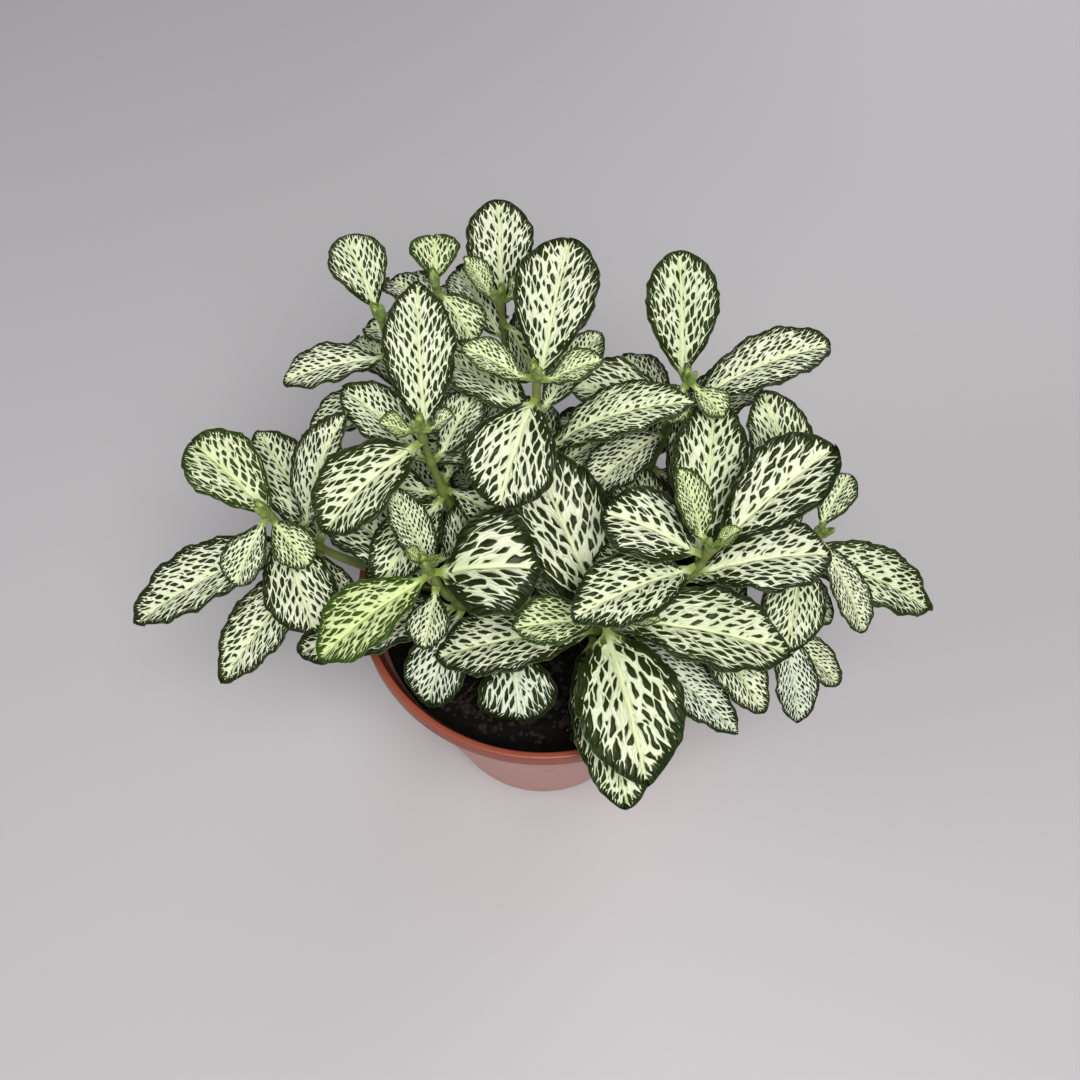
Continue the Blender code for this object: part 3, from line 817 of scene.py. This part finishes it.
# %% A tree that sweeps a stem
def new_growth(name, **kinds):
    """A Geometry Nodes tree and its inputs, each given by its name and type of socket."""
    group = bpy.data.node_groups.new(name, "GeometryNodeTree")
    group.interface.new_socket("Geometry", in_out="OUTPUT", socket_type="NodeSocketGeometry")
    for title, kind in {"Geometry": "Geometry", **kinds}.items():
        group.interface.new_socket(title, in_out="INPUT", socket_type="NodeSocket" + kind)
    growth = Tree(group, "GeometryNode")
    return growth, growth.node("NodeGroupInput").outputs


def way_out(growth, shape, material):
    """End a tree with real geometry that wears a material."""
    solid = growth.node("RealizeInstances", Geometry=shape).outputs["Geometry"]
    worn = growth.node("SetMaterial", Geometry=solid, Material=material)
    end = growth.node("NodeGroupOutput")
    growth.give(end.inputs["Geometry"], worn.outputs["Geometry"])


def grown(name, maker, growth, **values):
    """Run a tree on an object and keep the result as a plain mesh object."""
    modifier = maker.modifiers.new("growth", "NODES")
    modifier.node_group = growth.tree
    for item in growth.tree.interface.items_tree:
        if item.in_out == "INPUT" and item.name in values:
            modifier[item.identifier] = values[item.name]
    maker.update_tag()
    graph = bpy.context.evaluated_depsgraph_get()
    mesh = bpy.data.meshes.new_from_object(maker.evaluated_get(graph))
    maker.modifiers.remove(modifier)
    return placed(name, mesh)


stem_growth, wanted = new_growth("stem_growth", Sides="Int", Finish="Material")
thick = stem_growth.node("InputRadius").outputs["Radius"]
ring = stem_growth.node("CurvePrimitiveCircle", Resolution=wanted["Sides"], Radius=1.0)
swept = stem_growth.node("CurveToMesh", Curve=wanted["Geometry"],
                         Profile_Curve=ring.outputs["Curve"], Scale=thick, Fill_Caps=True)
smooth = stem_growth.node("SetShadeSmooth", Geometry=swept.outputs["Mesh"])
way_out(stem_growth, smooth.outputs["Geometry"], wanted["Finish"])

# %% Grow the stems
STEM_STEP = 0.7 * MM
STEM_SIDES = 14
YOUNG_STEM, YOUNG_THINNER = 40 * MM, 0.35
NODE_REACH, NODE_SWELL = 1.7 * MM, 0.35
TIP_TAPER = 3 * MM
STEPS_PAST_LAST = 4
SAME_NODE = 1.5 * MM
shoot_ends = {}


def stem_curve(name, middles, radii, roots):
    """A curve along a stem whose radius swells at every place that bears leaves."""
    knots = distances_along(middles)
    at = np.linspace(0, knots[-1], int(knots[-1] / STEM_STEP))
    points = curve_through(knots, middles, at)
    last = max(np.linalg.norm(points - root, axis=1).argmin() for root in roots)
    at, points = at[:last + STEPS_PAST_LAST], points[:last + STEPS_PAST_LAST]
    thick = np.interp(at, knots, radii)
    thick = thick * (1 - YOUNG_THINNER * np.clip(1 - (at[-1] - at) / YOUNG_STEM, 0, 1))
    for root in roots:
        off = np.linalg.norm(points - root, axis=1)
        thick = thick * (1 + NODE_SWELL * np.exp(-(off / NODE_REACH) ** 2))
    thick = thick * np.sqrt(np.clip((at[-1] - at) / TIP_TAPER, 0.03, 1))
    curve = bpy.data.curves.new(name, "CURVE")
    curve.dimensions = "3D"
    spline = curve.splines.new("POLY")
    spline.points.add(len(points) - 1)
    for target, point, radius in zip(spline.points, points, thick):
        target.co = (*point, 1)
        target.radius = radius
    shoot_ends[name] = (points[-1], unit(points[-1] - points[-4]))
    return placed(name, curve)


def spread_apart(points, gap):
    """Those of some points that aren't close to one already taken."""
    kept = []
    for point in points:
        if all(np.linalg.norm(point - other) > gap for other in kept):
            kept.append(point)
    return kept


for shoot, (middles, radii) in stems.items():
    roots = [root for node, blades in whorls.items()
             if node.removeprefix("leaves_").rsplit("_", 1)[0] == shoot for root, _ in blades]
    path = stem_curve(shoot, middles, radii, spread_apart(roots, SAME_NODE))
    stem = grown("stalk_" + shoot, path, stem_growth, Sides=STEM_SIDES,
                 Finish=stem_finish.material)
    bpy.data.objects.remove(path)
    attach(stem, "root")
    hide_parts("stem_" + shoot)
print("stems grown:", len(stems))

# %% [markdown]
# ## Buds
#
# The next pair of leaves is always on its way at a shoot's end: two small scales folded
# against each other. `Blade` makes them too, from a few rows of their own. A shoot whose end
# is right under another leaf has none.

# %% Buds at the ends of the stems
BUD_LENGTH = 4.6 * MM
BUD_HALF = 1.3 * MM
BUD_BULGE = 1.7 * MM
BUD_PLACES = (0.25, 0.5, 0.75, 0.92, 1)
BUD_MOOD = [0.8, -0.2]
COVERED_SHOOTS = ("low_right",)


def bud_rows(end, along, outwards):
    """Rows of one upright scale that bulges away from the shoot's middle."""
    across = np.cross(along, outwards)
    rows = []
    for t in BUD_PLACES:
        bulge = outwards * math.sin(math.pi * min(t * 0.8, 1)) * BUD_BULGE
        middle = end + along * BUD_LENGTH * t + bulge
        reach = BUD_HALF * math.sin(math.pi * min(t ** 0.8, 0.97)) ** 0.8 + 0.1 * MM
        edge = -outwards * reach * 0.5
        rows.append([middle - across * reach + edge, middle, middle + across * reach + edge])
    return np.array(rows)


for number, (shoot, (end, along)) in enumerate(shoot_ends.items()):
    if shoot in COVERED_SHOOTS:
        continue
    turn = 1.1 * number
    outwards = unit(np.cross(along, (math.cos(turn), math.sin(turn), 0.1)))
    scales = []
    for way in (1, -1):
        rows = bud_rows(end - along * MM, along, outwards * way)
        blade = Blade(end - along * 1.8 * MM, rows, number + 900, POINTED_TIP)
        scales.append((blade, BUD_MOOD + [number * 0.7 + way]))
    leaves_piece("bud_" + shoot, scales)

# %% [markdown]
# ## The nursery pot
#
# The pot is a thin injection-moulded cup: a tapered wall, a lip that stands out all round,
# and a floor with six holes. A turned profile gives the cup. The plastic is coloured right
# through, with a satin skin, a few scuffs and some peat dust on it. Its wall is painted a
# paler pink as a painted sheen, and the band at the lip a darker red-brown that holds painted
# shade.

# %% Pot sizes from the frame
WALL = 1.2 * MM
LEVEL_SLACK = 0.05 * MM
_, pot_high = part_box("pot")
POT_TOP = pot_high.z
RIM = pot_high.x
corners = np.array([vert.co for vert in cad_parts["pot"].data.vertices])
radius_of = np.hypot(corners[:, 0], corners[:, 1])
BASE = radius_of[corners[:, 2] < LEVEL_SLACK].max()
levels = np.unique(np.round(corners[:, 2], 5))
UNDER_LIP = levels[(levels > 0.8 * POT_TOP) & (levels < POT_TOP - 2 * MM)].max()
WALL_TOP = radius_of[np.abs(corners[:, 2] - UNDER_LIP) < LEVEL_SLACK].min()
print(f"pot: rim {RIM / MM:.1f}, wall under the lip {WALL_TOP / MM:.1f}, base {BASE / MM:.1f} mm")

# %% Pot finish
pot_finish = Finish("terracotta_plastic", Roughness=0.4)


def pot_skin(f):
    place = f.place()
    parts = f.node("SeparateXYZ", Vector=place)
    height = Value(f, parts.outputs["Z"])
    cloud = f.noise(place, 28, detail=4)
    grit = f.noise(place, 1500, detail=2)
    # The wall's pale pinkish tones are a painted sheen of the window light on the plastic.
    plastic_with_sheen = f.mix(cloud, colour(182, 130, 120), colour(200, 154, 146))
    # The band from just under the lip to the top is darker red-brown: the lip's own colour with
    # painted shade of the inner rim.
    lip_and_rim_shade = f.step(height, UNDER_LIP - 2 * MM, UNDER_LIP + 1 * MM)
    plastic_with_sheen = f.mix(lip_and_rim_shade, plastic_with_sheen, colour(142, 76, 57))
    stretched = f.node("Mapping", Vector=place, Scale=(60, 60, 700))
    scuff = f.step(f.noise(stretched.outputs["Vector"], 1.0, detail=3), 0.62, 0.7)
    plastic_with_sheen = f.mix(scuff * 0.25, plastic_with_sheen, colour(222, 178, 162))
    dust = f.step(f.noise(place, 170, detail=5, roughness=0.65), 0.56, 0.74)
    below_lip = 1 - f.step(height, POT_TOP - 9 * MM, POT_TOP - 1 * MM)
    low = 1 - f.step(height, 0.0, 16 * MM)
    dusty = dust * (0.18 + 0.3 * low)
    f.paint(f.mix(dusty, plastic_with_sheen, colour(84, 62, 50)))
    f.give(f.shader.inputs["Roughness"], 0.36 + dusty * 0.5 + 0.1 * cloud + below_lip * 0.04)
    f.bump(grit * 0.4 + scuff * 0.3, 0.06 * MM, 0.7)


pot_skin(pot_finish)


# %% Turn the pot
def arc(centre, radius, start, end, steps=8):
    """Points round a corner, from one angle in degrees to another."""
    angles = [math.radians(start + (end - start) * i / steps) for i in range(steps + 1)]
    return [(centre[0] + radius * math.cos(a), centre[1] + radius * math.sin(a))
            for a in angles]


def wall_at(height):
    """The radius of the outer wall."""
    return BASE + (WALL_TOP - BASE) * height / UNDER_LIP


def turned(name, profile):
    """A profile of (radius, height) points, outer side downwards, turned round Z."""
    mesh = bpy.data.meshes.new(name)
    edges = [(i, i + 1) for i in range(len(profile) - 1)]
    mesh.from_pydata([(radius, 0, height) for radius, height in profile], edges, [])
    made = placed(name, mesh)
    screw = made.modifiers.new("turn", "SCREW")
    screw.steps = screw.render_steps = POT_SIDES
    screw.use_merge_vertices = True
    screw.merge_threshold = 0.01 * MM
    return made


POT_SIDES = 180
FLOOR = 1.6 * MM
INNER_ROUND = 2 * MM
LIP_WIDTH = 2.3 * MM
LIP_ROUND = 0.7 * MM
LIP_EDGE = 0.5 * MM
UNDER_ROUND = 0.9 * MM
FOOT_ROUND = 2.4 * MM
FOOT_RISE = 0.5 * MM
DRAINS, DRAIN, DRAIN_RING = 6, 4 * MM, 0.6 * BASE
POT_EDGE_ANGLE = 40

corner = WALL + INNER_ROUND
profile = [(0, FLOOR), (wall_at(FLOOR) - corner, FLOOR)]
profile += arc((wall_at(4 * MM) - corner, FLOOR + INNER_ROUND), INNER_ROUND, -90, -8, 5)
profile.append((wall_at(UNDER_LIP) - WALL, UNDER_LIP))
profile += arc((RIM - LIP_WIDTH + LIP_ROUND, POT_TOP - LIP_ROUND), LIP_ROUND, 180, 90)
profile += arc((RIM - LIP_ROUND, POT_TOP - LIP_ROUND), LIP_ROUND, 90, 0)
profile += arc((RIM - LIP_EDGE, UNDER_LIP + LIP_EDGE), LIP_EDGE, 0, -90, 5)
profile += arc((WALL_TOP + UNDER_ROUND, UNDER_LIP - UNDER_ROUND), UNDER_ROUND, 90, 174, 6)
foot = wall_at(FOOT_ROUND) - FOOT_ROUND
profile += arc((foot, FOOT_ROUND), FOOT_ROUND, 0, -90)
profile += [(foot - 1.5 * MM, 0), (foot - 2.0 * MM, FOOT_RISE), (0, FOOT_RISE)]
pot = turned("nursery_pot", profile)

drill = bmesh.new()
for i in range(DRAINS):
    angle = TURN * i / DRAINS
    place = Vector((math.cos(angle), math.sin(angle), 0)) * DRAIN_RING
    bmesh.ops.create_cone(drill, cap_ends=True, segments=32, radius1=DRAIN, radius2=DRAIN,
                          depth=8 * MM, matrix=Matrix.Translation(place))
drains = placed("drains", mesh_of("drains", drill))
cut = pot.modifiers.new("drains", "BOOLEAN")
cut.operation = "DIFFERENCE"
cut.object = drains
graph = bpy.context.evaluated_depsgraph_get()
finished = bpy.data.meshes.new_from_object(pot.evaluated_get(graph))
pot.modifiers.clear()
pot.data = finished
bpy.data.objects.remove(drains)
pot.data.shade_smooth()
pot.data.set_sharp_from_angle(angle=math.radians(POT_EDGE_ANGLE))
pot.data.materials.clear()
pot.data.materials.append(pot_finish.material)
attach(pot, "root")
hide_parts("pot")
print("pot faces:", len(pot.data.polygons))

# %% [markdown]
# ## The soil
#
# Moist peat is almost black, lumpy, and full of short fibres and crumbs. The bulk is one
# closed body with layers of noise in its top. One Geometry Nodes tree scatters what lies
# loose on it: crumbs, fibres and a few pale grains.

# %% Peat finish
peat_finish = Finish("moist_peat", Roughness=0.8, Specular_IOR_Level=0.2)


def peat_skin(f):
    lumps = f.noise(f.place(), 260, detail=6, roughness=0.7)
    peat = f.mix(lumps, colour(5, 4, 4), colour(30, 26, 24))
    f.paint(f.mix(f.noise(f.place(), 45) * 0.4, peat, colour(12, 9, 7)))
    f.bump(lumps, 1.2 * MM, 1.0)


peat_skin(peat_finish)


def plain_finish(name, first, second, rough, grain):
    """Two tones in a fine grain, for the small loose things."""
    made = Finish(name, Roughness=rough)
    share = made.noise(made.place(), grain, detail=3)
    made.paint(made.mix(share, first, second))
    return made.material


crumb_finish = plain_finish("peat_crumb", colour(6, 5, 4), colour(62, 50, 42), 0.9, 600)
fibre_finish = plain_finish("peat_fibre", colour(46, 34, 26), colour(150, 122, 98), 0.8, 900)
grain_finish = plain_finish("pale_grain", colour(90, 84, 74), colour(170, 160, 146), 0.8, 900)

# %% Body of the soil
soil_low, soil_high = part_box("soil")
SOIL_RINGS = 60
SOIL_SPOKES = 220
SOIL_SIDE = soil_high.z - 7 * MM
CROWN, SETTLED = 3 * MM, 0.8 * MM
LUMP = 2.2 * MM
LUMPS_PER_METRE, CRUMBS_PER_METRE = 110, 420


def soil_height(x, y):
    """Lumps on a gentle crown, with finer crumbs on top."""
    radius = math.hypot(x, y) / soil_high.x
    crown = soil_high.z - CROWN * radius ** 2 - SETTLED
    coarse = noise.fractal(Vector((x, y, 0)) * LUMPS_PER_METRE, 1.0, 2.0, 4)
    fine = noise.fractal(Vector((x, y, 0.5)) * CRUMBS_PER_METRE, 1.0, 2.0, 3)
    return crown + LUMP * 0.5 * coarse + LUMP * 0.5 * fine


def soil_body():
    """A lumpy top of rings, a side that follows the pot's wall, and a flat bottom."""
    work = bmesh.new()
    peak = work.verts.new((0, 0, soil_height(0, 0)))
    rings = []
    for i in range(1, SOIL_RINGS + 1):
        radius = soil_high.x * (i / SOIL_RINGS)
        angles = [TURN * j / SOIL_SPOKES for j in range(SOIL_SPOKES)]
        flat = [(radius * math.cos(a), radius * math.sin(a)) for a in angles]
        rings.append([work.verts.new((x, y, soil_height(x, y))) for x, y in flat])
    bottom = soil_low.z
    lowest = wall_at(bottom) - WALL - 0.3 * MM
    for radius, height in ((soil_high.x - 0.7 * MM, SOIL_SIDE), (lowest, bottom)):
        rings.append([work.verts.new((vert.co.x / soil_high.x * radius,
                                      vert.co.y / soil_high.x * radius, height))
                      for vert in rings[SOIL_RINGS - 1]])
    for first, second in zip(rings, rings[1:]):
        for j in range(SOIL_SPOKES):
            k = (j + 1) % SOIL_SPOKES
            work.faces.new((first[j], second[j], second[k], first[k]))
    for j in range(SOIL_SPOKES):
        work.faces.new((peak, rings[0][j], rings[0][(j + 1) % SOIL_SPOKES]))
    work.faces.new(rings[-1][::-1])
    bmesh.ops.recalc_face_normals(work, faces=work.faces)
    mesh = mesh_of("peat", work)
    mesh.shade_smooth()
    mesh.materials.append(peat_finish.material)
    return mesh


soil = placed("peat", soil_body())
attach(soil, "root")
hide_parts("soil")
print("soil faces:", len(soil.data.polygons))


# %% A tree that scatters loose things on the soil
WALL_CLEARANCE = 4 * MM
scatter, wanted = new_growth("litter_growth", Thing="Object", Density="Float", Seed="Int",
                             Smallest="Float", Largest="Float", Tilt="Float",
                             Finish="Material")
place = scatter.node("InputPosition").outputs["Position"]
x, y, z = (Value(scatter, part)
           for part in scatter.node("ShaderNodeSeparateXYZ", Vector=place).outputs)
on_top = scatter.maths("GREATER_THAN", z, SOIL_SIDE)
inside = scatter.maths("LESS_THAN", x * x + y * y, (soil_high.x - WALL_CLEARANCE) ** 2)
spots = scatter.node("DistributePointsOnFaces", Mesh=wanted["Geometry"],
                     Selection=on_top * inside, Density=wanted["Density"],
                     Seed=wanted["Seed"])
thing = scatter.node("ObjectInfo", Object=wanted["Thing"])
turns = scatter.node("FunctionNodeRandomValue", {"data_type": "FLOAT_VECTOR"},
                     Seed=wanted["Seed"])
tilt = scatter.node("ShaderNodeCombineXYZ", X=wanted["Tilt"], Y=wanted["Tilt"], Z=TURN)
scatter.give(turns.inputs["Max"], tilt.outputs["Vector"])
sizes = scatter.node("FunctionNodeRandomValue", {"data_type": "FLOAT"}, Seed=wanted["Seed"])
scatter.give(sizes.inputs[2], wanted["Smallest"])
scatter.give(sizes.inputs[3], wanted["Largest"])
laid = scatter.node("InstanceOnPoints", Points=spots.outputs["Points"],
                    Instance=thing.outputs["Geometry"], Rotation=turns.outputs[0],
                    Scale=sizes.outputs[1])
way_out(scatter, laid.outputs["Instances"], wanted["Finish"])


# %% Crumbs, fibres and grains
FIBRE_LENGTH, FIBRE_RADIUS, FIBRE_STEPS = 4.2 * MM, 0.11 * MM, 6


def crumb_shape(name, seed, squash):
    """A small uneven lump, a millimetre across."""
    work = bmesh.new()
    bmesh.ops.create_icosphere(work, subdivisions=1, radius=0.5 * MM)
    for vert in work.verts:
        vert.co *= 1 + 0.5 * noise.noise(vert.co * 1800 + Vector((seed, 0, 0)))
        vert.co.z *= squash
    return placed(name, mesh_of(name, work))


def fibre_shape(name):
    """A thin bent fibre, four-sided and closed."""
    work = bmesh.new()
    rings = []
    for i in range(FIBRE_STEPS + 1):
        t = i / FIBRE_STEPS - 0.5
        thick = FIBRE_RADIUS * (1 - 1.6 * t * t)
        middle = Vector((t * FIBRE_LENGTH, 1.1 * MM * math.sin(2.4 * t),
                         0.25 * MM * math.cos(5 * t)))
        rings.append([work.verts.new(middle + Vector((0, math.cos(a), math.sin(a))) * thick)
                      for a in (0, TURN / 4, TURN / 2, 3 * TURN / 4)])
    for first, second in zip(rings, rings[1:]):
        for j in range(4):
            k = (j + 1) % 4
            work.faces.new((first[j], first[k], second[k], second[j]))
    work.faces.new(rings[0][::-1])
    work.faces.new(rings[-1])
    bmesh.ops.recalc_face_normals(work, faces=work.faces)
    return placed(name, mesh_of(name, work))


# Name, shape, number per square metre, seed, smallest and largest size, tilt and finish.
LITTER = (
    ("peat_crumbs", crumb_shape("crumb", 1, 0.8), 190000, 3, 0.6, 2.4, TURN, crumb_finish),
    ("peat_lumps", crumb_shape("lump", 5, 0.7), 20000, 5, 2.0, 4.6, TURN, crumb_finish),
    ("peat_fibres", fibre_shape("fibre"), 11000, 8, 0.5, 1.7, 0.5, fibre_finish),
    ("pale_grains", crumb_shape("grain", 9, 0.9), 2500, 12, 0.4, 0.9, TURN, grain_finish),
)
for name, shape, density, seed, smallest, largest, tilt, finish in LITTER:
    litter = grown(name, soil, scatter, Thing=shape, Density=float(density), Seed=seed,
                   Smallest=smallest, Largest=largest, Tilt=tilt, Finish=finish)
    bpy.data.objects.remove(shape)
    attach(litter, "root")
    print(f"{name}: {len(litter.data.polygons)} faces")
